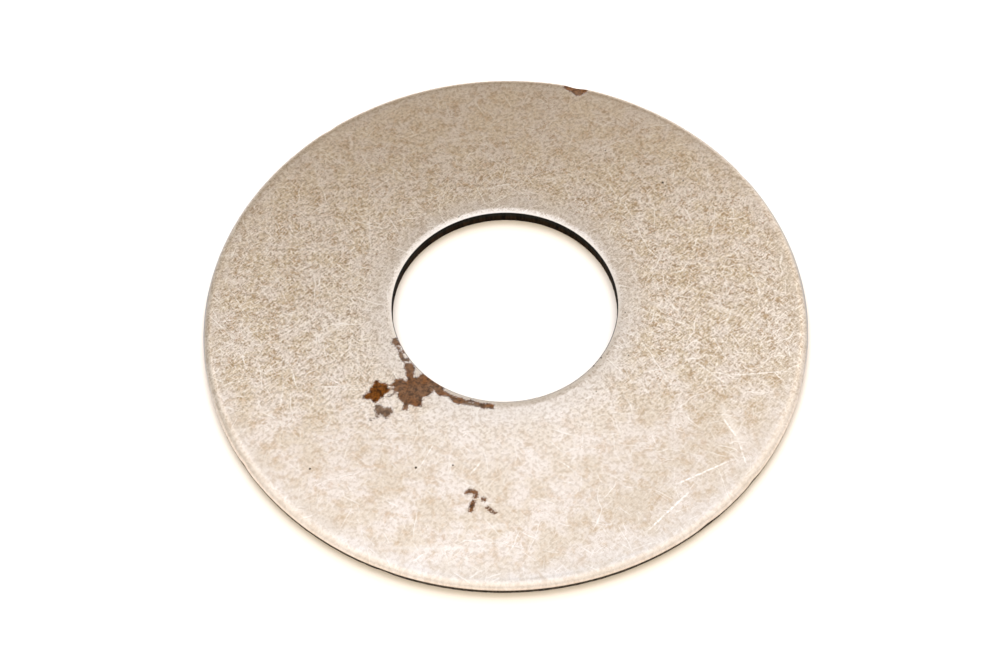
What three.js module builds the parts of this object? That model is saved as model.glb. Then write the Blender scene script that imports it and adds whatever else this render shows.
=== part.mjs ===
// Flat washer, wide series: one thin stamped steel disc with a round hole for a bolt.
//
// Frame: millimetres, +Z up. The origin is the centre of the face that it rests on, and the hole's axis is Z.
// The disc is a solid of revolution. Its section is drawn once, in (radius, height), and turned about Z.
// Both top edges are rolled over, as a press leaves them on the side where the punch goes in: the rim's
// edge deeply, the hole's edge only slightly. Below each rollover the sheared wall stands upright. At the
// rim its lower part leans inwards, where the metal broke. The bottom corners are only just blunt.

import * as THREE from "three";

// Driving dimensions
const OUTER_DIAMETER = 50.8;
const HOLE_DIAMETER = 19.0;
const THICKNESS = 1.2;

// Rollover of the top edges: how far it reaches in from the wall, and how far down the wall
const RIM_ROLL_WIDTH = 0.85;
const RIM_ROLL_DEPTH = 0.6;
const HOLE_ROLL_WIDTH = 0.65;
const HOLE_ROLL_DEPTH = 0.18;

// Broken lower part of the rim's wall: its height above the bottom face, and how far it leans at the bottom
const RIM_BREAK_HEIGHT = 0.35;
const RIM_BREAK_LEAN = 0.04;

// Blunting of the two bottom corners
const CORNER_RADIUS = 0.08;

// Smoothness
const TURN_SEGMENTS = 96;
const RIM_ROLL_STEPS = 7;
const HOLE_ROLL_STEPS = 5;
const CORNER_STEPS = 2;

// Points along a quarter of an ellipse, from angle `from` to angle `to`, both ends included.
function quarterEllipse(centreRadius, centreHeight, halfWidth, halfHeight, from, to, steps) {
  const curve = new THREE.EllipseCurve(
    centreRadius,
    centreHeight,
    halfWidth,
    halfHeight,
    from,
    to,
    to < from,
  );
  return curve.getPoints(steps);
}

// The closed section of the disc: bottom face, rim wall, rim rollover, top face, hole rollover, hole wall.
function section() {
  const rim = OUTER_DIAMETER / 2;
  const hole = HOLE_DIAMETER / 2;
  const rimFoot = rim - RIM_BREAK_LEAN;

  const rimCorner = quarterEllipse(
    rimFoot - CORNER_RADIUS,
    CORNER_RADIUS,
    CORNER_RADIUS,
    CORNER_RADIUS,
    -Math.PI / 2,
    0,
    CORNER_STEPS,
  );
  const rimRoll = quarterEllipse(
    rim - RIM_ROLL_WIDTH,
    THICKNESS - RIM_ROLL_DEPTH,
    RIM_ROLL_WIDTH,
    RIM_ROLL_DEPTH,
    0,
    Math.PI / 2,
    RIM_ROLL_STEPS,
  );
  const holeRoll = quarterEllipse(
    hole + HOLE_ROLL_WIDTH,
    THICKNESS - HOLE_ROLL_DEPTH,
    HOLE_ROLL_WIDTH,
    HOLE_ROLL_DEPTH,
    Math.PI / 2,
    Math.PI,
    HOLE_ROLL_STEPS,
  );
  const holeCorner = quarterEllipse(
    hole + CORNER_RADIUS,
    CORNER_RADIUS,
    CORNER_RADIUS,
    CORNER_RADIUS,
    Math.PI,
    1.5 * Math.PI,
    CORNER_STEPS,
  );

  const outline = [
    ...rimCorner,
    new THREE.Vector2(rim, RIM_BREAK_HEIGHT),
    ...rimRoll,
    ...holeRoll,
    ...holeCorner,
  ];
  return [...outline, outline[0].clone()];
}

// LatheGeometry turns the section about Y, so the result is stood up to turn about Z.
function washerGeometry() {
  const geometry = new THREE.LatheGeometry(section(), TURN_SEGMENTS);
  return geometry.rotateX(Math.PI / 2);
}

function wornSteel() {
  return new THREE.MeshStandardMaterial({
    color: new THREE.Color(0.62, 0.56, 0.49),
    roughness: 0.42,
    metalness: 1.0,
  });
}

const washer = new THREE.Mesh(washerGeometry(), wornSteel());
washer.name = "washer";

const part = new THREE.Group();
part.add(washer);

export default part;
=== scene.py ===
"""A worn flat washer of stamped steel, on a white table under soft light.

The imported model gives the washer's outer diameter, hole and thickness. This script replaces its plain
solid by one fine mesh with the same section and size, with ragged sheared walls, small dents and rust,
and gives it a procedural steel. The washer's lengths are in millimetres until its mesh is made, and places
on it are (x, y) with the hole's axis at (0, 0). The set round it is in metres.
"""

import math

import bpy
import numpy as np
from mathutils import Matrix, Vector, noise


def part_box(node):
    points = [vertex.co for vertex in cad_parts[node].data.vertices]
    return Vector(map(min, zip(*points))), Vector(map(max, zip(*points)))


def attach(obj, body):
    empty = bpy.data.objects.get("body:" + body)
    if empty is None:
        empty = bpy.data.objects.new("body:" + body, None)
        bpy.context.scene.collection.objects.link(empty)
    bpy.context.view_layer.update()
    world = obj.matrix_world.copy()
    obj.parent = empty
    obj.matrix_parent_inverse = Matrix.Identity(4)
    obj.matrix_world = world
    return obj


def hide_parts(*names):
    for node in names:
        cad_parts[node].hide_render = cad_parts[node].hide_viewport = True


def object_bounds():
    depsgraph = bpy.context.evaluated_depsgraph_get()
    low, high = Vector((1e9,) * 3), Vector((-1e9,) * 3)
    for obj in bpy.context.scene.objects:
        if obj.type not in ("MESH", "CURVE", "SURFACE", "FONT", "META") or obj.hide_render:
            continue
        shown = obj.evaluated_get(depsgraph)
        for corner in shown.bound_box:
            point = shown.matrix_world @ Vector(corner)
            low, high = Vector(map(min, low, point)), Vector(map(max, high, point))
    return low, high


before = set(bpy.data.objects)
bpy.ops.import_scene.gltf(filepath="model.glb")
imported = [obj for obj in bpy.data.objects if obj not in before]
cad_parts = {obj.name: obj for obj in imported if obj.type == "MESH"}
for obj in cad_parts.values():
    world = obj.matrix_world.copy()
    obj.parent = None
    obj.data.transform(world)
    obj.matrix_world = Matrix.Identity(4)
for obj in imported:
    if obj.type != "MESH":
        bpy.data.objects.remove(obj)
cad_low, cad_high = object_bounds()

# One millimetre in metres
MM = 0.001

# Camera: its lens, and its place round a target near the washer's middle, in outer radii of the washer
SENSOR_WIDTH = 36.0
LENS = 48.63
CAMERA_ELEVATION = 57.785
CAMERA_ROLL = -1.879
CAMERA_DISTANCE = 4.4706
CAMERA_TARGET = (-0.0188, -0.0915)
CAMERA_CLIP = (0.005, 20.0)

# Light: the sky's colour and strength near the horizon, then in each band above it: (height in degrees
# where the band starts to show, height where it is full, its colour)
SKY_LOW = (1.00, 0.96, 0.90, 1.0)
SKY_BANDS = [
    (22.0, 42.0, (1.60, 1.50, 1.36, 1.0)),
    (48.0, 76.0, (1.49, 1.58, 1.72, 1.0)),
    (74.0, 84.0, (0.98, 1.00, 1.03, 1.0)),
]

# Dim parts of the sky: (direction of the middle, angle from it where the part is full, angle where it is
# gone, its colour). The first is low at the left and the second low behind.
SKY_DIM_PARTS = [
    ((-0.86, 0.48, 0.17), 18.0, 44.0, (0.48, 0.465, 0.41, 1.0)),
    ((-0.07, 0.88, 0.47), 24.0, 37.0, (0.465, 0.395, 0.30, 1.0)),
]

# What the camera sees of the sky
BACKDROP = (1.0, 1.0, 1.0, 1.0)
BACKDROP_STRENGTH = 1.2

# A soft box high behind. Nothing mirrors it, so it only lights what is dull.
KEY_PLACE = (0.0, 0.56, 0.56)
KEY_WIDTH = 0.9
KEY_POWER = 12.5
KEY_COLOUR = (0.56, 0.69, 1.0)

TABLE_HALF_SIDE = 0.45
TABLE_COLOUR = (0.84, 0.72, 0.57, 1.0)

# The washer's section: its rolled-over top edges, its sheared walls that end in rough broken ones, and the
# small round corners of its underside. The hole's roll turns into sheared wall at HOLE_EDGE_ANGLE, in
# degrees from straight outward.
RIM_ROLL_WIDTH = 0.85
RIM_ROLL_DEPTH = 0.6
HOLE_ROLL_WIDTH = 0.65
HOLE_ROLL_DEPTH = 0.18
RIM_BREAK_HEIGHT = 0.35
HOLE_BREAK_HEIGHT = 0.7
HOLE_EDGE_ANGLE = 158
RIM_BREAK_LEAN = 0.04
CORNER_RADIUS = 0.08

# Fineness of the mesh
TURN_STEPS = 500
FINE_REACH = 4.6
FINE_STEP = 0.1
COARSE_STEP = 0.2
UNDERSIDE_STEP = 0.4

# Relief that the press and long use left: waves in the top face, and rough broken walls, mostly pressed
# inward, with a ragged upper line and, in the hole, a groove along it
WAVE_HEIGHT = 0.012
BREAK_ROUGHNESS = 0.018
BREAK_INWARD = 0.6
BREAK_RAGGED = 0.09
BREAK_GROOVE = 0.025
BREAK_GROOVE_REACH = 0.05

# How far one pattern of noise lies from the next
SEED_STEPS = (17.3, -9.1, 5.7)

# Dents on the rim: (angle in degrees, width along the rim, depth, height of the dent's middle)
RIM_DENTS = [
    (73.0, 1.6, 0.16, 0.9),
    (128.0, 1.1, 0.07, 0.8),
    (171.0, 1.4, 0.06, 0.1),
    (214.0, 0.9, 0.05, 0.7),
    (247.0, 1.2, 0.06, 0.1),
    (306.0, 1.5, 0.07, 0.75),
    (318.0, 1.0, 0.06, 0.6),
    (352.0, 1.3, 0.08, 0.2),
    (31.0, 1.2, 0.06, 0.8),
]
DENT_HALF_HEIGHT = 0.45
DENT_REACH = 1.2
DENT_FADE = 1.0

# Rust patches on the top face: (warmth from grey brown, 0, to orange brown, 1, then the outline)
RUST_PATCHES = {
    "by_the_hole": (0.6, [
        (-9.6, -7.7), (-9.2, -7.45), (-9.15, -7.15), (-8.6, -7.1), (-8.3, -7.35), (-8.15, -7.4),
        (-8.1, -7.0), (-8.25, -6.8), (-8.2, -6.4), (-8.4, -6.1), (-8.35, -5.65), (-7.85, -5.6),
        (-7.5, -6.1), (-7.6, -6.5), (-7.7, -7.0), (-7.3, -7.05), (-6.9, -6.6), (-6.4, -7.0),
        (-5.8, -7.5), (-5.2, -8.0), (-5.2, -8.4), (-5.0, -8.45), (-4.6, -8.75), (-4.0, -9.05),
        (-3.75, -9.05), (-3.35, -9.35), (-3.0, -9.25), (-2.6, -9.45), (-2.1, -9.65), (-1.6, -9.65),
        (-1.15, -9.8), (-1.2, -10.2), (-1.75, -10.05), (-2.0, -10.2), (-2.3, -9.95), (-2.8, -9.6),
        (-3.15, -9.45), (-3.4, -9.75), (-3.7, -9.6), (-4.1, -9.65), (-4.4, -9.45), (-4.8, -8.95),
        (-5.1, -8.8), (-5.5, -8.85), (-5.8, -8.55), (-6.0, -8.2), (-6.15, -8.5), (-6.45, -8.8),
        (-6.9, -8.9), (-7.0, -9.75), (-7.5, -9.75), (-7.8, -9.55), (-8.0, -9.5), (-8.15, -10.05),
        (-8.5, -10.0), (-8.4, -9.5), (-8.55, -9.2), (-8.85, -8.95), (-8.9, -8.3), (-9.3, -8.2),
        (-9.3, -8.0), (-9.05, -7.9),
    ]),
    "left": (1.0, [
        (-10.6, -7.1), (-10.4, -7.45), (-10.0, -7.5), (-9.75, -7.65), (-9.75, -7.9), (-9.5, -8.1),
        (-9.7, -8.3), (-10.0, -8.5), (-10.05, -8.8), (-10.3, -8.85), (-10.5, -9.1), (-10.7, -9.35),
        (-10.95, -9.1), (-11.05, -8.8), (-11.2, -8.95), (-11.75, -8.85), (-11.6, -8.5),
        (-11.4, -8.35), (-11.2, -8.3), (-11.2, -8.0), (-10.95, -7.75), (-10.8, -7.3),
    ]),
    "low": (0.25, [
        (-10.7, -9.5), (-10.4, -9.45), (-10.1, -9.65), (-9.95, -9.85), (-9.7, -9.75), (-9.4, -9.8),
        (-9.3, -10.2), (-9.55, -10.45), (-9.85, -10.8), (-10.05, -10.5), (-10.2, -10.3),
        (-10.4, -10.4), (-10.45, -10.65), (-10.65, -10.7), (-10.6, -10.2), (-10.75, -9.9),
    ]),
    "high": (0.35, [
        (-9.4, -3.25), (-9.05, -3.1), (-8.9, -3.45), (-8.6, -3.85), (-8.95, -3.9), (-9.15, -4.0),
        (-9.3, -3.75), (-9.55, -3.7), (-9.4, -3.5),
    ]),
    "rim": (0.6, [
        (6.2, 23.95), (6.5, 24.65), (6.6, 25.6), (8.9, 25.0), (8.6, 24.0), (8.3, 23.2), (8.05, 23.1),
        (7.9, 22.9), (7.6, 22.8), (7.3, 22.85), (7.1, 23.1), (6.95, 23.35), (6.5, 23.6),
    ]),
}

# Narrow rust marks on the top face: (warmth, half width, then the points along the mark)
RUST_MARKS = [
    (0.2, 0.14, [(-4.5, -9.15), (-3.4, -9.6), (-2.4, -9.8), (-1.5, -10.0)]),
    (0.3, 0.15, [(-8.75, -4.6), (-8.65, -5.0), (-8.45, -5.35), (-8.15, -5.3)]),
    (0.3, 0.12, [(-8.95, -4.15), (-8.85, -4.2)]),
    (0.3, 0.10, [(-8.55, -4.45), (-8.45, -4.55)]),
    (0.3, 0.05, [(-9.65, -8.7), (-9.35, -8.6), (-9.1, -8.35)]),
    (0.2, 0.07, [(-11.1, -10.8), (-11.0, -10.8)]),
    (0.7, 0.15, [(-3.45, -17.5), (-3.15, -17.35), (-2.75, -17.55), (-2.75, -17.85)]),
    (0.7, 0.15, [(-2.95, -18.3), (-3.1, -18.7), (-3.2, -19.05)]),
    (0.7, 0.12, [(-1.9, -18.85), (-1.6, -19.1), (-1.3, -19.3)]),
    (0.7, 0.14, [(-2.2, -18.05), (-2.1, -18.2)]),
]

# Rust patches on the underside, seen in the same (x, y)
UNDERSIDE_PATCHES = {
    "broad": (0.5, [
        (11.0, 3.0), (13.5, 2.2), (15.0, 3.4), (16.2, 3.0), (17.0, 4.6), (15.8, 6.4), (16.4, 8.0),
        (14.2, 8.8), (12.8, 7.6), (11.6, 7.9), (10.9, 6.0), (11.7, 4.7),
    ]),
    "small": (0.9, [(-15.5, 9.0), (-14.0, 8.4), (-13.2, 9.6), (-13.9, 10.8), (-15.1, 10.6)]),
    "edge": (0.2, [
        (-9.0, -23.2), (-7.4, -22.4), (-5.0, -23.6), (-2.8, -23.4), (-2.6, -24.6), (-8.4, -23.4),
    ]),
}
UNDERSIDE_MARKS = [(0.4, 0.18, [(3.0, -14.5), (4.4, -15.2), (5.2, -14.8)])]

# The depth of rust that stands for none at all
FAR_FROM_RUST = -3.0

# Single scratches on the top face: (start, end, half width, brightness)
LONG_SCRATCHES = [
    ((10.0, -21.4), (13.9, -17.9), 0.12, 1.0),
    ((12.5, -17.5), (17.4, -15.4), 0.11, 1.0),
    ((17.0, -11.6), (18.0, -13.6), 0.13, 1.0),
    ((18.0, -13.6), (18.4, -16.0), 0.10, 0.8),
    ((18.0, -7.8), (23.2, -7.6), 0.09, 1.0),
    ((17.0, -3.7), (18.0, -6.4), 0.09, 1.0),
    ((15.2, -6.2), (17.8, -8.7), 0.09, 0.9),
    ((4.0, -15.1), (5.1, -16.1), 0.11, 1.0),
    ((-7.15, -15.3), (-5.95, -13.1), 0.07, 1.0),
    ((-13.8, -7.9), (-11.5, -8.0), 0.08, 0.9),
    ((-18.2, -6.9), (-18.35, -9.4), 0.09, 0.9),
    ((-11.9, 11.9), (-10.4, 13.4), 0.07, 1.0),
    ((-21.6, 7.3), (-14.6, 5.5), 0.07, 0.9),
    ((-3.1, -15.9), (-2.3, -14.9), 0.10, 1.0),
    ((2.4, 14.5), (3.9, 14.6), 0.07, 0.9),
    ((9.5, -0.3), (16.8, -3.6), 0.08, 0.8),
]

# Faint broad rubs on the top face: (start, end, half width, brightness)
RUBS = [
    ((11.7, -0.3), (14.8, -1.5), 0.45, 0.45),
    ((16.6, -0.6), (20.6, -2.5), 0.40, 0.40),
    ((16.9, -9.9), (18.3, -14.4), 0.55, 0.40),
    ((12.0, -8.8), (14.6, -6.4), 0.40, 0.30),
    ((-11.0, -21.8), (-2.8, -22.2), 0.30, 0.35),
    ((-3.6, -20.85), (-0.6, -20.3), 0.28, 0.35),
    ((-21.0, 1.6), (-18.0, 4.4), 0.35, 0.35),
    ((-12.6, 9.0), (-9.6, 12.2), 0.35, 0.35),
    ((-17.4, -4.3), (-13.0, -1.2), 0.40, 0.35),
    ((4.2, 13.0), (9.4, 14.2), 0.35, 0.35),
    ((-7.0, 17.2), (-1.6, 18.6), 0.35, 0.30),
]

# Pits on the top face: (place, radius)
PITS = [
    ((14.45, 12.25), 0.15),
    ((16.3, 12.4), 0.09),
    ((14.55, 10.8), 0.07),
    ((9.6, 16.15), 0.10),
    ((7.5, 12.9), 0.11),
    ((10.05, -1.4), 0.08),
    ((10.0, -5.6), 0.09),
    ((8.25, -5.4), 0.06),
    ((7.15, -8.9), 0.06),
    ((7.75, -5.7), 0.09),
    ((7.1, -6.45), 0.09),
    ((-4.5, -15.1), 0.10),
    ((-7.4, -15.2), 0.13),
    ((-15.7, -15.0), 0.12),
    ((-3.75, 9.2), 0.09),
]

# Warm stains on the top face: (place, radius, strength)
STAINS = [
    ((-14.1, -15.4), 0.45, 0.5),
    ((-14.0, -16.5), 0.45, 0.8),
    ((-13.0, -18.7), 0.35, 0.7),
    ((-9.8, -19.0), 0.45, 0.8),
    ((-5.3, -21.2), 0.35, 0.8),
    ((-17.7, -14.1), 0.4, 0.5),
    ((15.3, -13.8), 0.4, 0.7),
    ((18.2, -9.3), 0.5, 0.5),
    ((10.55, 2.9), 0.4, 0.8),
    ((11.6, -18.6), 0.6, 0.4),
    ((-18.4, 1.0), 0.9, 0.5),
    ((19.2, 6.8), 0.8, 0.4),
]


# ---------------------------------------------------------------- the washer's shape


def evenly(start, stop, step):
    """Numbers from start to stop, both included, about step apart."""
    return np.linspace(start, stop, max(2, round(abs(stop - start) / step) + 1))


def straight(start, stop, steps):
    """Points of a straight stretch of the section, without its start."""
    radii = np.linspace(start[0], stop[0], steps + 1)
    heights = np.linspace(start[1], stop[1], steps + 1)
    return list(zip(radii[1:], heights[1:]))


def arc(middle, reach, start, stop, steps):
    """Points of an ellipse's arc round `middle`, with half axes `reach`, from angle to angle in degrees."""
    angles = np.radians(np.linspace(start, stop, steps + 1))
    return [(middle[0] + reach[0] * math.cos(a), middle[1] + reach[1] * math.sin(a)) for a in angles]


def section(rim, hole, thick):
    """The closed section as (radius, height, sheared, broken) points; the last two are 1 on those walls."""
    rim_foot = rim - RIM_BREAK_LEAN
    corner = (CORNER_RADIUS, CORNER_RADIUS)
    rim_corner = (rim_foot - CORNER_RADIUS, CORNER_RADIUS)
    hole_corner = (hole + CORNER_RADIUS, CORNER_RADIUS)
    rim_roll = ((rim - RIM_ROLL_WIDTH, thick - RIM_ROLL_DEPTH), (RIM_ROLL_WIDTH, RIM_ROLL_DEPTH))
    hole_roll = ((hole + HOLE_ROLL_WIDTH, thick - HOLE_ROLL_DEPTH), (HOLE_ROLL_WIDTH, HOLE_ROLL_DEPTH))
    rim_break, hole_break = (rim, RIM_BREAK_HEIGHT), (hole, HOLE_BREAK_HEIGHT)
    underside = evenly(hole_corner[0], rim_corner[0], UNDERSIDE_STEP)
    top = evenly(rim_roll[0][0], hole + FINE_REACH, COARSE_STEP)[1:]
    fine_top = evenly(hole + FINE_REACH, hole_roll[0][0], FINE_STEP)[1:]

    # From the hole out along the underside, up the rim, back over the top and down through the hole
    stretches = [
        ([(r, 0.0) for r in underside], 0, 0),
        (arc(rim_corner, corner, -72, 0, steps=4), 1, 1),
        (straight((rim_foot, CORNER_RADIUS), rim_break, steps=6), 1, 1),
        (straight(rim_break, (rim, thick - RIM_ROLL_DEPTH), steps=5), 1, 0),
        (arc(*rim_roll, 6, 90, steps=14), 0, 0),
        ([(r, thick) for r in top], 0, 0),
        ([(r, thick) for r in fine_top], 0, 0),
        (arc(*hole_roll, 97, HOLE_EDGE_ANGLE - 4, steps=8), 0, 0),
        (arc(*hole_roll, HOLE_EDGE_ANGLE, 174, steps=3), 1, 0),
        ([(hole, thick - HOLE_ROLL_DEPTH)], 1, 0),
        (straight((hole, thick - HOLE_ROLL_DEPTH), hole_break, steps=6), 1, 0),
        (straight(hole_break, (hole, CORNER_RADIUS), steps=8), 1, 1),
        (arc(hole_corner, corner, 198, 252, steps=3), 1, 1),
    ]
    return np.array([(r, z, sheared, broken) for points, sheared, broken in stretches for r, z in points])


def noise_at(points, scale, seed, octaves=3):
    """Smooth noise, from about -1 to 1, at each of an array of points in millimetres."""
    shift = Vector([seed * step for step in SEED_STEPS])
    return np.array([noise.fractal(Vector(p) * scale + shift, 1.0, 2.0, octaves) for p in points])


def angle_between(a, b):
    """The smallest angle from b to a, in degrees."""
    return (a - b + 180.0) % 360.0 - 180.0


def turned(turns, radius, height):
    """The (turn, ring, 3) array of points at each radius and height round the axis."""
    return np.stack([radius * np.cos(turns), radius * np.sin(turns), height], 2)


def ragged_height(height, turns, walls):
    """Makes the line between each wall's smooth and broken parts wander up and down round the washer."""
    for wall, size, top, nominal, seed in walls:
        circle = turned(turns, np.full_like(turns, size), np.zeros_like(turns)).reshape(-1, 3)
        wander = BREAK_RAGGED * noise_at(circle, 0.9, seed)[:, None]
        share = np.where(height < nominal, height / nominal, (top - height) / (top - nominal))
        height = np.where(wall, height + wander * np.clip(share, 0, 1), height)
    return height


def dent_depth(turns, height, radius, rim):
    """How far the dents press each point of the rim inward."""
    pressed = np.zeros_like(height)
    near_rim = np.clip((radius - rim + DENT_REACH) / DENT_FADE, 0, 1)
    for place, width, depth, level in RIM_DENTS:
        along = np.radians(angle_between(np.degrees(turns), place)) * rim / (width / 2)
        down = (height - level) / DENT_HALF_HEIGHT
        pressed = pressed + depth * np.exp(-along**2 - down**2) * near_rim
    return pressed


def shape_points(ring, rim, hole, thick):
    """Turns the section round the axis and gives every point its wear: a (turn, ring, 3) array."""
    turns = np.radians(np.arange(TURN_STEPS) * 360.0 / TURN_STEPS)[:, None]
    plain_radius, plain_height, sheared, broken = ring.T[:, None, :]
    radius = np.repeat(plain_radius, TURN_STEPS, 0)
    height = np.repeat(plain_height, TURN_STEPS, 0)
    outer = plain_radius > (rim + hole) / 2
    height = ragged_height(height, turns, [
        (outer & (sheared > 0), rim, thick - RIM_ROLL_DEPTH, RIM_BREAK_HEIGHT, 3),
        (~outer & (sheared > 0), hole, thick - HOLE_ROLL_DEPTH, HOLE_BREAK_HEIGHT, 4),
    ])

    points = turned(turns, radius, height).reshape(-1, 3)
    rough = noise_at(points, 5.0, 1).reshape(radius.shape)
    wave = noise_at(points * (1, 1, 0), 0.09, 2, 2).reshape(radius.shape)

    outward = np.where(outer, 1.0, -1.0)
    radius = radius + outward * broken * BREAK_ROUGHNESS * (rough - BREAK_INWARD)
    at_break = np.exp(-((height - HOLE_BREAK_HEIGHT) / BREAK_GROOVE_REACH) ** 2) * sheared * ~outer
    radius = radius + at_break * BREAK_GROOVE - dent_depth(turns, height, plain_radius, rim)
    smooth_top = (height > thick / 2) & (sheared == 0)
    height = height + np.where(smooth_top, WAVE_HEIGHT * (wave - 1.0), 0.0)
    return turned(turns, radius, height)


def distance_to_path(points, path):
    """How far each (x, y) point is from a path of straight stretches."""
    nearest = np.full(len(points), np.inf)
    for start, end in zip(path[:-1], path[1:]):
        start, span = np.array(start), np.array(end) - np.array(start)
        share = np.clip(((points - start) @ span) / (span @ span), 0, 1)
        nearest = np.minimum(nearest, np.hypot(*(points - start - share[:, None] * span).T))
    return nearest


def inside(points, outline):
    """True for each (x, y) point that an outline encloses."""
    hit = np.zeros(len(points), bool)
    x, y = points.T
    for (x0, y0), (x1, y1) in zip(outline, outline[1:] + outline[:1]):
        if y0 != y1:
            crosses = (y0 > y) != (y1 > y)
            hit ^= crosses & (x < (x1 - x0) * (y - y0) / (y1 - y0) + x0)
    return hit


def rust_depth(points, patches, marks):
    """How far inside the rust each point is, in millimetres (negative outside), and the rust's warmth."""
    shapes = []
    for warm, outline in patches.values():
        away = distance_to_path(points, outline + outline[:1])
        shapes.append((warm, np.where(inside(points, outline), away, -away)))
    for warm, half_width, path in marks:
        shapes.append((warm, half_width - distance_to_path(points, path)))
    depth, warmth = np.full(len(points), FAR_FROM_RUST), np.zeros(len(points))
    for warm, reach in shapes:
        warmth = np.where(reach > depth, warm, warmth)
        depth = np.maximum(depth, reach)
    return depth, warmth


def ring_faces(rings):
    """Four-sided faces that join each turned section to the next one."""
    faces = []
    for turn in range(TURN_STEPS):
        this, following = turn * rings, (turn + 1) % TURN_STEPS * rings
        for k in range(rings):
            n = (k + 1) % rings
            faces.append((this + k, following + k, following + n, this + n))
    return faces


def washer_mesh(rim, hole, thick):
    """The fine mesh, in metres, with its wear stored as point attributes for the material."""
    ring = section(rim, hole, thick)
    points = shape_points(ring, rim, hole, thick).reshape(-1, 3)
    mesh = bpy.data.meshes.new("worn_washer")
    mesh.from_pydata((points * MM).tolist(), [], ring_faces(len(ring)))
    mesh.shade_smooth()

    above, warm_above = rust_depth(points[:, :2], RUST_PATCHES, RUST_MARKS)
    below, warm_below = rust_depth(points[:, :2], UNDERSIDE_PATCHES, UNDERSIDE_MARKS)
    on_top = points[:, 2] > thick / 2
    for name, values in (
        ("rust_depth", np.where(on_top, above, below)),
        ("rust_warmth", np.where(on_top, warm_above, warm_below)),
        ("sheared", np.tile(ring[:, 2], TURN_STEPS)),
        ("broken", np.tile(ring[:, 3], TURN_STEPS)),
    ):
        attribute = mesh.attributes.new(name, "FLOAT", "POINT")
        attribute.data.foreach_set("value", values.astype(np.float32))
    return mesh


# ---------------------------------------------------------------- node helpers


class Nodes:
    """Short calls for a node tree. A value is a number, a vector, a colour or another node's output."""

    def __init__(self, tree):
        self.tree = tree

    def add(self, kind, inputs=None, **settings):
        node = self.tree.nodes.new(kind)
        for name, value in settings.items():
            setattr(node, name, value)
        for key, value in (inputs or {}).items():
            self.feed(node.inputs[key], value)
        return node

    def feed(self, socket, value):
        if isinstance(value, bpy.types.NodeSocket):
            self.tree.links.new(value, socket)
        else:
            socket.default_value = value

    def math(self, operation, *values):
        return self.add("ShaderNodeMath", dict(enumerate(values)), operation=operation).outputs[0]

    def product(self, first, *others):
        for other in others:
            first = self.math("MULTIPLY", first, other)
        return first

    def vector(self, operation, *values):
        node = self.add("ShaderNodeVectorMath", dict(enumerate(values)), operation=operation)
        return node.outputs["Value" if operation in ("LENGTH", "DOT_PRODUCT", "DISTANCE") else "Vector"]

    def scaled(self, vector, by):
        return self.add("ShaderNodeVectorMath", {0: vector, "Scale": by}, operation="SCALE").outputs[0]

    def ramp(self, value, low, high, start=0.0, end=1.0):
        """Smoothly from `start` at `low` to `end` at `high`."""
        node = self.add("ShaderNodeMapRange", interpolation_type="SMOOTHSTEP")
        limits = {"From Min": low, "From Max": high, "To Min": start, "To Max": end}
        for key, item in {"Value": value, **limits}.items():
            self.feed(node.inputs[key], item)
        return node.outputs[0]

    def blend(self, share, first, second):
        """A colour from first to second."""
        node = self.add("ShaderNodeMix", data_type="RGBA")
        for index, value in ((0, share), (6, first), (7, second)):
            self.feed(node.inputs[index], value)
        return node.outputs[2]

    def between(self, share, first, second):
        """A number from first to second."""
        node = self.add("ShaderNodeMix", data_type="FLOAT")
        for index, value in ((0, share), (2, first), (3, second)):
            self.feed(node.inputs[index], value)
        return node.outputs[0]

    def noise(self, place, scale, detail=2.0, roughness=0.5, distortion=0.0):
        return self.add("ShaderNodeTexNoise", {"Vector": place, "Scale": scale, "Detail": detail,
                        "Roughness": roughness, "Distortion": distortion}).outputs[0]

    def stored(self, name):
        return self.add("ShaderNodeAttribute", attribute_name=name).outputs["Fac"]


def colour(red, green, blue):
    return (red, green, blue, 1.0)


def new_group(name, inputs, outputs):
    """An empty node group: its Nodes, and its inputs and outputs as dictionaries of sockets."""
    group = bpy.data.node_groups.new(name, "ShaderNodeTree")
    for label, kind in inputs:
        group.interface.new_socket(label, in_out="INPUT", socket_type=kind)
    for label in outputs:
        group.interface.new_socket(label, in_out="OUTPUT", socket_type="NodeSocketFloat")
    nodes = Nodes(group)
    return nodes, nodes.add("NodeGroupInput").outputs, nodes.add("NodeGroupOutput").inputs


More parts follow.
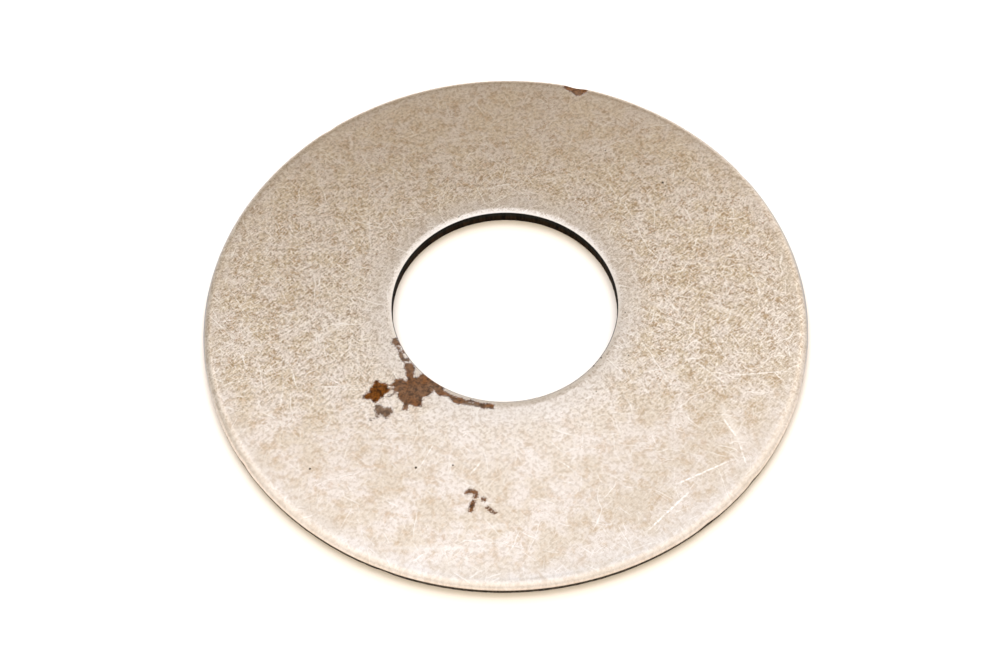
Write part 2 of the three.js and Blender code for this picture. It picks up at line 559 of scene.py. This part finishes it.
def short_scratches_group():
    """One random short line in each cell of a pattern: how strongly a point is marked, from 0 to 1."""
    nodes, given, wanted = new_group(
        "short_scratches",
        [("Place", "NodeSocketVector"), ("Cell", "NodeSocketFloat"), ("Half Width", "NodeSocketFloat"),
         ("Presence", "NodeSocketFloat"), ("Seed", "NodeSocketFloat")],
        ["Mark"],
    )
    shift = nodes.add("ShaderNodeCombineXYZ", {"X": given["Seed"], "Y": given["Seed"]}).outputs[0]
    bend = nodes.noise(given["Place"], 0.5, 1.0)
    place = nodes.vector("ADD", given["Place"], nodes.scaled((1.0, -1.0, 0.0), bend))
    place = nodes.vector("ADD", nodes.scaled(place, nodes.math("DIVIDE", 1.0, given["Cell"])), shift)
    cells = nodes.add("ShaderNodeTexVoronoi", {"Vector": place, "Scale": 1.0, "Randomness": 1.0},
                      voronoi_dimensions="2D")
    chance = nodes.add("ShaderNodeSeparateXYZ", {0: cells.outputs["Color"]}).outputs
    offset = nodes.add("ShaderNodeSeparateXYZ",
                       {0: nodes.vector("SUBTRACT", place, cells.outputs["Position"])}).outputs
    angle = nodes.math("MULTIPLY", chance[0], math.pi)
    cos, sin = nodes.math("COSINE", angle), nodes.math("SINE", angle)
    along = nodes.math("ADD", nodes.product(offset[0], cos), nodes.product(offset[1], sin))
    across = nodes.math("SUBTRACT", nodes.product(offset[1], cos), nodes.product(offset[0], sin))
    line = nodes.ramp(nodes.product(nodes.math("ABSOLUTE", across), given["Cell"]),
                      0.0, given["Half Width"], 1.0, 0.0)
    taper = nodes.ramp(nodes.math("ABSOLUTE", along), 0.15, 0.6, 1.0, 0.0)
    present = nodes.math("LESS_THAN", chance[1], given["Presence"])
    strength = nodes.between(chance[2], 0.35, 1.0)
    nodes.feed(wanted["Mark"], nodes.product(line, taper, present, strength))
    return nodes.tree


def single_scratch_group():
    """One straight scratch between two places."""
    nodes, given, wanted = new_group(
        "single_scratch",
        [("Place", "NodeSocketVector"), ("Start", "NodeSocketVector"), ("Span", "NodeSocketVector"),
         ("Half Width", "NodeSocketFloat")],
        ["Mark"],
    )
    from_start = nodes.vector("SUBTRACT", given["Place"], given["Start"])
    share = nodes.math("DIVIDE", nodes.vector("DOT_PRODUCT", from_start, given["Span"]),
                       nodes.vector("DOT_PRODUCT", given["Span"], given["Span"]))
    held = nodes.math("MINIMUM", nodes.math("MAXIMUM", share, 0.0), 1.0)
    away = nodes.vector("DISTANCE", from_start, nodes.scaled(given["Span"], held))
    line = nodes.ramp(away, 0.0, given["Half Width"], 1.0, 0.0)
    ends = nodes.product(nodes.ramp(share, -0.05, 0.25), nodes.ramp(share, 0.75, 1.05, 1.0, 0.0))
    nodes.feed(wanted["Mark"], nodes.product(line, ends))
    return nodes.tree


def spot_group():
    """One round spot."""
    nodes, given, wanted = new_group(
        "spot",
        [("Place", "NodeSocketVector"), ("Middle", "NodeSocketVector"), ("Radius", "NodeSocketFloat")],
        ["Mark"],
    )
    away = nodes.vector("DISTANCE", given["Place"], given["Middle"])
    share = nodes.math("DIVIDE", away, given["Radius"])
    nodes.feed(wanted["Mark"], nodes.ramp(share, 0.35, 1.0, 1.0, 0.0))
    return nodes.tree


# ---------------------------------------------------------------- the steel


# Colours of the top face, from its tarnish to the marks over it
PINK_GREY = colour(0.775, 0.675, 0.60)
TAN = colour(0.65, 0.525, 0.375)
BROWN_FLECK = colour(0.58, 0.405, 0.25)
BARE_METAL = colour(0.72, 0.655, 0.61)
# Painted light and painted shade: a paler tone for the near left of the hole and a darker one for the near
# right
PAINTED_NEAR_LEFT_LIGHT = colour(0.95, 0.88, 0.83)
PAINTED_NEAR_RIGHT_SHADE = colour(0.34, 0.28, 0.21)
ROLLED_EDGE = colour(0.84, 0.79, 0.75)
SOIL = colour(0.32, 0.225, 0.135)
RUBBED = colour(0.93, 0.86, 0.80)
STROKE = colour(1.0, 0.93, 0.86)
SCRATCH = colour(1.0, 0.95, 0.90)
# Painted reflection: greys for the far side of the rim's roll, the second bluish at its very edge
PAINTED_RIM_REFLECTION = colour(0.40, 0.395, 0.39)
PAINTED_RIM_EDGE_REFLECTION = colour(0.22, 0.255, 0.30)
STAIN = colour(0.46, 0.26, 0.12)
PIT = colour(0.03, 0.022, 0.015)

# Colours of the walls and of the rust: (dark, light)
HOLE_WALL = (colour(0.005, 0.005, 0.004), colour(0.016, 0.014, 0.011))
BROKEN_WALL = (colour(0.003, 0.002, 0.001), colour(0.024, 0.013, 0.006))
RIM_WALL = (colour(0.020, 0.016, 0.012), colour(0.085, 0.066, 0.050))
GREY_BROWN_RUST = (colour(0.072, 0.046, 0.029), colour(0.172, 0.115, 0.072))
ORANGE_RUST = (colour(0.022, 0.007, 0.001), colour(0.145, 0.043, 0.004))

# Patterns of random short scratches: (strength, cell, half width, presence, seed)
SHORT_SCRATCHES = [
    (0.8, 0.9, 0.055, 0.55, 1.3),
    (1.0, 1.5, 0.06, 0.45, 7.7),
    (1.0, 2.6, 0.065, 0.6, 13.1),
    (1.0, 4.6, 0.060, 0.6, 21.9),
]

# Tumbling strokes: (direction in degrees, strokes per millimetre across, along, seed)
STROKES = [(36.0, 8.5, 1.8, 3.0), (52.0, 8.0, 2.2, 11.0), (-48.0, 8.0, 2.0, 19.0)]

# How far apart the patterns of the two faces are taken, in millimetres
FACES_APART = 100.0


def most(nodes, values):
    """The highest of several numbers."""
    result = values[0]
    for value in values[1:]:
        result = nodes.math("MAXIMUM", result, value)
    return result


def strongest(nodes, tree, listed):
    """The strongest of the marks that a node group makes: each is (strength, the group's inputs)."""
    marks = []
    for strength, inputs in listed:
        mark = nodes.add("ShaderNodeGroup", inputs, node_tree=tree).outputs[0]
        marks.append(nodes.product(mark, strength))
    return most(nodes, marks)


def short_scratches(nodes, flat, layers):
    """Several patterns of short scratches: each is (strength, cell, half width, presence, seed)."""
    return strongest(nodes, short_scratches_group(), [
        (strength, {"Place": flat, "Cell": cell, "Half Width": half_width,
                    "Presence": presence, "Seed": seed})
        for strength, cell, half_width, presence, seed in layers
    ])


def straight_marks(nodes, flat, tree, listed):
    """Single straight marks: each is (start, end, half width, brightness)."""
    return strongest(nodes, tree, [
        (brightness, {"Place": flat, "Start": (*start, 0.0), "Half Width": half_width,
                      "Span": (end[0] - start[0], end[1] - start[1], 0.0)})
        for start, end, half_width, brightness in listed
    ])


def spots(nodes, flat, tree, listed):
    """Round spots: each is (middle, radius, strength)."""
    return strongest(nodes, tree, [
        (strength, {"Place": flat, "Middle": (*middle, 0.0), "Radius": radius})
        for middle, radius, strength in listed
    ])


def stroke_field(nodes, flat, direction, across, along, seed):
    """Noise drawn out along one direction, from 0 to 1."""
    angle = math.radians(direction)
    u = nodes.vector("DOT_PRODUCT", flat, (along * math.cos(angle), along * math.sin(angle), 0.0))
    v = nodes.vector("DOT_PRODUCT", flat, (-across * math.sin(angle), across * math.cos(angle), 0.0))
    drawn = nodes.add("ShaderNodeCombineXYZ", {"X": u, "Y": v, "Z": seed}).outputs[0]
    return nodes.noise(drawn, 1.0, 1.0, 0.6)


class Spot:
    """Where a shaded point is on the washer, in millimetres, and what the wear there depends on."""

    def __init__(self, nodes, rim, hole, thick):
        self.place = nodes.scaled(nodes.add("ShaderNodeTexCoord").outputs["Object"], 1.0 / MM)
        x, self.y, z = nodes.add("ShaderNodeSeparateXYZ", {0: self.place}).outputs
        moved = nodes.math("MULTIPLY", nodes.math("LESS_THAN", z, thick / 2), FACES_APART)
        x = nodes.math("ADD", x, moved)
        # The same place in two dimensions, with the patterns of the two faces kept apart
        self.flat = nodes.add("ShaderNodeCombineXYZ", {"X": x, "Y": self.y}).outputs[0]
        radius = nodes.vector("LENGTH", nodes.vector("MULTIPLY", self.place, (1.0, 1.0, 0.0)))
        self.radius = radius

        # Smoother wear at the front and the back of the washer
        self.polished = nodes.math("MAXIMUM", nodes.ramp(self.y, 8.0, 21.0, 0.0, 0.7),
                                   nodes.ramp(self.y, -3.0, -15.0))
        # Rubbed bare near both edges, and smooth on the two rolls
        self.bare = nodes.math("MAXIMUM", nodes.ramp(radius, hole + 0.7, hole + 3.3, 1.0, 0.0),
                               nodes.ramp(radius, rim - 2.4, rim - 0.6, 0.0, 0.6))
        self.smooth = nodes.math("MAXIMUM", nodes.ramp(radius, hole + 0.1, hole + 0.6, 1.0, 0.0),
                                 nodes.ramp(radius, rim - 0.8, rim - 0.3, 0.0, 0.45))
        self.cloud = nodes.noise(self.flat, 0.34, 4.0, 0.7)
        self.fleck = nodes.noise(self.flat, 0.9, 3.0, 0.65, 0.4)


def tarnish(nodes, spot):
    """Tan and pinkish grey clouds with browner flecks, bare grey where the edges have been rubbed, and a
    painted lighter and darker tone on the washer's near side.
    """
    tan = nodes.product(nodes.ramp(spot.cloud, 0.42, 0.58), nodes.between(spot.polished, 1.0, 0.5))
    steel = nodes.blend(tan, PINK_GREY, TAN)
    brown = nodes.product(nodes.ramp(spot.fleck, 0.48, 0.66, 0.0, 0.8),
                          nodes.between(spot.polished, 1.0, 0.6))
    steel = nodes.blend(brown, steel, BROWN_FLECK)
    steel = nodes.blend(nodes.product(spot.bare, 0.75), steel, BARE_METAL)

    # Painted light: paler on the near left of the hole; painted shade: duller and darker out toward the
    # near right
    near_left = nodes.vector("DOT_PRODUCT", spot.place, (-0.5, -0.87, 0.0))
    painted_near_left_light = nodes.product(nodes.ramp(spot.radius, 19.0, 11.0),
                            nodes.ramp(near_left, -2.0, 8.0, 0.0, 0.35))
    steel = nodes.blend(painted_near_left_light, steel, PAINTED_NEAR_LEFT_LIGHT)
    near_right = nodes.vector("DOT_PRODUCT", spot.place, (0.8, -0.6, 0.0))
    steel = nodes.blend(nodes.ramp(near_right, 10.0, 22.0, 0.0, 0.2), steel, PAINTED_NEAR_RIGHT_SHADE)
    return nodes.blend(nodes.product(spot.smooth, 0.8), steel, ROLLED_EDGE)


def wear(nodes, spot, steel):
    """Dark grain in every size, with light rubs, strokes and scratches over it.

    Returns the steel's colour, the grain, how dark it is, and how scratched.
    """
    single = single_scratch_group()
    grain = nodes.noise(spot.flat, 3.3, 3.0, nodes.between(spot.polished, 1.0, 0.5))
    strokes = most(nodes, [stroke_field(nodes, spot.flat, *given) for given in STROKES])
    long = nodes.product(straight_marks(nodes, spot.flat, single, LONG_SCRATCHES),
                         nodes.ramp(grain, 0.40, 0.58, 0.30, 0.85))
    short = nodes.product(short_scratches(nodes, spot.flat, SHORT_SCRATCHES),
                          nodes.between(spot.polished, 1.0, 0.5), nodes.between(spot.smooth, 1.0, 0.2))
    scratched = nodes.math("MAXIMUM", short, long)
    rub = straight_marks(nodes, spot.flat, single, RUBS)

    calm = nodes.math("MAXIMUM", spot.smooth, nodes.product(spot.bare, 0.4))
    contrast = nodes.product(nodes.between(calm, 1.0, 0.12), nodes.between(spot.polished, 1.0, 0.29))
    soiled = nodes.math("SUBTRACT", grain, nodes.product(nodes.math("SUBTRACT", spot.fleck, 0.5), 0.2))
    dark = nodes.product(nodes.ramp(soiled, 0.55, 0.41), contrast)
    steel = nodes.blend(nodes.product(dark, 0.9), steel, SOIL)
    steel = nodes.blend(rub, steel, RUBBED)
    stroke = nodes.product(nodes.ramp(strokes, 0.55, 0.68), contrast)
    steel = nodes.blend(nodes.product(stroke, 0.75), steel, STROKE)
    steel = nodes.blend(scratched, steel, SCRATCH)
    return steel, grain, nodes.product(dark, nodes.math("SUBTRACT", 1.0, rub)), scratched


def far_rim_painted_reflection(nodes, spot, steel, rim):
    """Painted reflection: greys the outermost part of the rim's roll, on the washer's far side, for the
    grey reflection there in place of the warm table's.
    """
    far_side = nodes.ramp(spot.y, -14.0, 2.0)
    for start, full, most_grey, grey in ((0.4, 0.1, 0.9, PAINTED_RIM_REFLECTION), (0.2, 0.06, 1.0, PAINTED_RIM_EDGE_REFLECTION)):
        painted_grey = nodes.product(nodes.ramp(spot.radius, rim - start, rim - full, 0.0, most_grey), far_side)
        steel = nodes.blend(painted_grey, steel, grey)
    return steel


def stains_and_pits(nodes, spot, steel):
    """Returns the steel's colour with its stains and pits, and how pitted it is."""
    tree = spot_group()
    patchy = nodes.ramp(nodes.noise(spot.flat, 2.4, 3.0, 0.7), 0.3, 0.7)
    stained = nodes.product(spots(nodes, spot.flat, tree, STAINS), patchy)
    steel = nodes.blend(nodes.product(stained, 0.5), steel, STAIN)
    pitted = spots(nodes, spot.flat, tree, [(middle, radius, 1.0) for middle, radius in PITS])
    return nodes.blend(pitted, steel, PIT), pitted


def wall_colour(nodes, spot):
    """Dark sheared metal, streaked up and down, and a little lighter at the rim than in the hole."""
    streak = nodes.noise(nodes.vector("MULTIPLY", spot.place, (1.0, 1.0, 0.12)), 6.0, 3.0, 0.6)
    sheared = nodes.blend(nodes.ramp(streak, 0.3, 0.7), *HOLE_WALL)
    broken = nodes.blend(nodes.ramp(streak, 0.35, 0.65), *BROKEN_WALL)
    in_hole = nodes.blend(nodes.stored("broken"), sheared, broken)
    at_rim = nodes.blend(nodes.ramp(streak, 0.3, 0.7), *RIM_WALL)
    return nodes.blend(nodes.ramp(spot.radius, 12.0, 20.0), in_hole, at_rim)


def rust_cover(nodes, spot):
    """The rust's colour, and where there is rust."""
    edge = nodes.math("SUBTRACT", nodes.noise(spot.flat, 8.5, 4.0, 0.85), 0.45)
    depth = nodes.math("ADD", nodes.stored("rust_depth"), nodes.product(edge, 0.9))
    drift = nodes.math("SUBTRACT", nodes.noise(spot.flat, 0.9, 2.0), 0.5)
    warmth = nodes.math("ADD", nodes.stored("rust_warmth"), drift)
    lit = nodes.ramp(nodes.noise(spot.flat, 2.6, 4.0, 0.8), 0.36, 0.62)
    rust = nodes.blend(warmth, nodes.blend(lit, *GREY_BROWN_RUST), nodes.blend(lit, *ORANGE_RUST))
    return rust, nodes.ramp(depth, -0.03, 0.05)


def worn_steel(rim, hole, thick):
    """Tumbled bare steel with a tarnish, scratches, dark sheared walls and rust."""
    material = bpy.data.materials.new("worn_steel")
    material.use_nodes = True
    material.node_tree.nodes.clear()
    nodes = Nodes(material.node_tree)
    spot = Spot(nodes, rim, hole, thick)
    steel, grain, dark, scratched = wear(nodes, spot, tarnish(nodes, spot))
    steel, pitted = stains_and_pits(nodes, spot, far_rim_painted_reflection(nodes, spot, steel, rim))
    on_wall = nodes.ramp(nodes.stored("sheared"), 0.3, 0.7)
    rust, rusty = rust_cover(nodes, spot)
    base = nodes.blend(on_wall, steel, wall_colour(nodes, spot))
    base = nodes.blend(rusty, base, rust)

    rough = nodes.between(nodes.ramp(spot.cloud, 0.3, 0.7), 0.27, 0.33)
    rough = nodes.between(nodes.product(scratched, 0.6), rough, 0.28)
    for share, value in ((spot.smooth, 0.55), (on_wall, 0.75), (rusty, 0.85)):
        rough = nodes.between(share, rough, value)
    metal = nodes.between(rusty, nodes.between(on_wall, 1.0, 0.0), 0.0)
    gloss = nodes.between(rusty, nodes.between(on_wall, 0.5, 0.03), 0.1)

    relief = nodes.math("SUBTRACT", nodes.product(grain, 0.5), nodes.product(dark, 0.6))
    relief = nodes.math("SUBTRACT", relief, nodes.product(scratched, 0.5))
    relief = nodes.math("SUBTRACT", relief, nodes.product(pitted, 3.0))
    crust = nodes.product(rusty, nodes.noise(spot.flat, 9.0, 3.0, 0.7), 2.0)
    bump = nodes.add("ShaderNodeBump", {"Strength": 0.6, "Distance": 0.008 * MM,
                                        "Height": nodes.math("ADD", relief, crust)})

    shader = nodes.add("ShaderNodeBsdfPrincipled", {"Base Color": base, "Metallic": metal,
                       "Roughness": rough, "Specular IOR Level": gloss, "Normal": bump.outputs[0]})
    output = nodes.add("ShaderNodeOutputMaterial")
    nodes.tree.links.new(shader.outputs[0], output.inputs["Surface"])
    return material


# ---------------------------------------------------------------- the set


def table_material():
    """Plain dull paint."""
    material = bpy.data.materials.new("white_table")
    material.use_nodes = True
    shader = material.node_tree.nodes["Principled BSDF"]
    shader.inputs["Base Color"].default_value = TABLE_COLOUR
    shader.inputs["Roughness"].default_value = 0.9
    shader.inputs["Specular IOR Level"].default_value = 0.1
    return material


def make_table(low):
    """A square table top at the height that the washer rests on."""
    half = TABLE_HALF_SIDE
    mesh = bpy.data.meshes.new("table")
    corners = [(-half, -half, low), (half, -half, low), (half, half, low), (-half, half, low)]
    mesh.from_pydata(corners, [], [(0, 1, 2, 3)])
    mesh.materials.append(table_material())
    table = bpy.data.objects.new("table", mesh)
    bpy.context.scene.collection.objects.link(table)
    return table


def make_sky():
    """Soft light from all round, in bands of height with two dim parts, that the camera sees as white."""
    world = bpy.data.worlds.new("studio")
    world.use_nodes = True
    world.node_tree.nodes.clear()
    nodes = Nodes(world.node_tree)
    direction = nodes.add("ShaderNodeTexCoord").outputs["Generated"]
    height = nodes.add("ShaderNodeSeparateXYZ", {0: direction}).outputs[2]
    tint = SKY_LOW
    for start, full, band_colour in SKY_BANDS:
        share = nodes.ramp(height, math.sin(math.radians(start)), math.sin(math.radians(full)))
        tint = nodes.blend(share, tint, band_colour)
    for middle, full, gone, dim_colour in SKY_DIM_PARTS:
        towards = nodes.vector("DOT_PRODUCT", direction, middle)
        share = nodes.ramp(towards, math.cos(math.radians(gone)), math.cos(math.radians(full)))
        tint = nodes.blend(share, tint, dim_colour)
    light = nodes.add("ShaderNodeBackground", {"Color": tint})
    white = nodes.add("ShaderNodeBackground", {"Color": BACKDROP, "Strength": BACKDROP_STRENGTH})
    seen = nodes.add("ShaderNodeLightPath").outputs["Is Camera Ray"]
    mix = nodes.add("ShaderNodeMixShader", {0: seen, 1: light.outputs[0], 2: white.outputs[0]})
    output = nodes.add("ShaderNodeOutputWorld")
    nodes.tree.links.new(mix.outputs[0], output.inputs["Surface"])
    bpy.context.scene.world = world


def make_key_light():
    """A square soft box that lights the table and the walls."""
    lamp = bpy.data.lights.new("key", "AREA")
    lamp.shape = "SQUARE"
    lamp.size = KEY_WIDTH
    lamp.energy = KEY_POWER
    lamp.color = KEY_COLOUR
    light = bpy.data.objects.new("key", lamp)
    light.location = KEY_PLACE
    light.rotation_mode = "QUATERNION"
    light.rotation_quaternion = (-Vector(KEY_PLACE)).to_track_quat("-Z", "Y")
    light.visible_glossy = False
    bpy.context.scene.collection.objects.link(light)


def make_camera(outer_radius):
    """The camera, looking down on the washer from the front."""
    elevation, roll = math.radians(CAMERA_ELEVATION), math.radians(CAMERA_ROLL)
    forward = Vector((0.0, math.cos(elevation), -math.sin(elevation)))
    right = Vector((1.0, 0.0, 0.0))
    up = right.cross(forward)
    turned_right = right * math.cos(roll) + up * math.sin(roll)
    turned_up = up * math.cos(roll) - right * math.sin(roll)
    target = Vector((*CAMERA_TARGET, 0.0)) * outer_radius
    place = target - forward * CAMERA_DISTANCE * outer_radius

    data = bpy.data.cameras.new("camera")
    data.sensor_width = SENSOR_WIDTH
    data.lens = LENS
    data.clip_start, data.clip_end = CAMERA_CLIP
    camera = bpy.data.objects.new("camera", data)
    axes = Matrix((turned_right, turned_up, -forward)).transposed()
    camera.matrix_world = Matrix.Translation(place) @ axes.to_4x4()
    bpy.context.scene.collection.objects.link(camera)
    bpy.context.scene.camera = camera


# ---------------------------------------------------------------- putting it together


def cad_sizes():
    """The washer's outer radius, hole radius and thickness, in millimetres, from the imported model."""
    low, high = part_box("washer")
    reach = [math.hypot(v.co.x, v.co.y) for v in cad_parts["washer"].data.vertices]
    return (high.x - low.x) / 2 / MM, min(reach) / MM, (high.z - low.z) / MM


rim_radius, hole_radius, thickness = cad_sizes()
washer = bpy.data.objects.new("worn_washer", washer_mesh(rim_radius, hole_radius, thickness))
bpy.context.scene.collection.objects.link(washer)
washer.data.materials.append(worn_steel(rim_radius, hole_radius, thickness))
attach(washer, "root")
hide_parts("washer")

make_camera(rim_radius * MM)
make_sky()
make_key_light()
make_table(cad_low.z)
bpy.context.scene.view_settings.view_transform = "Standard"
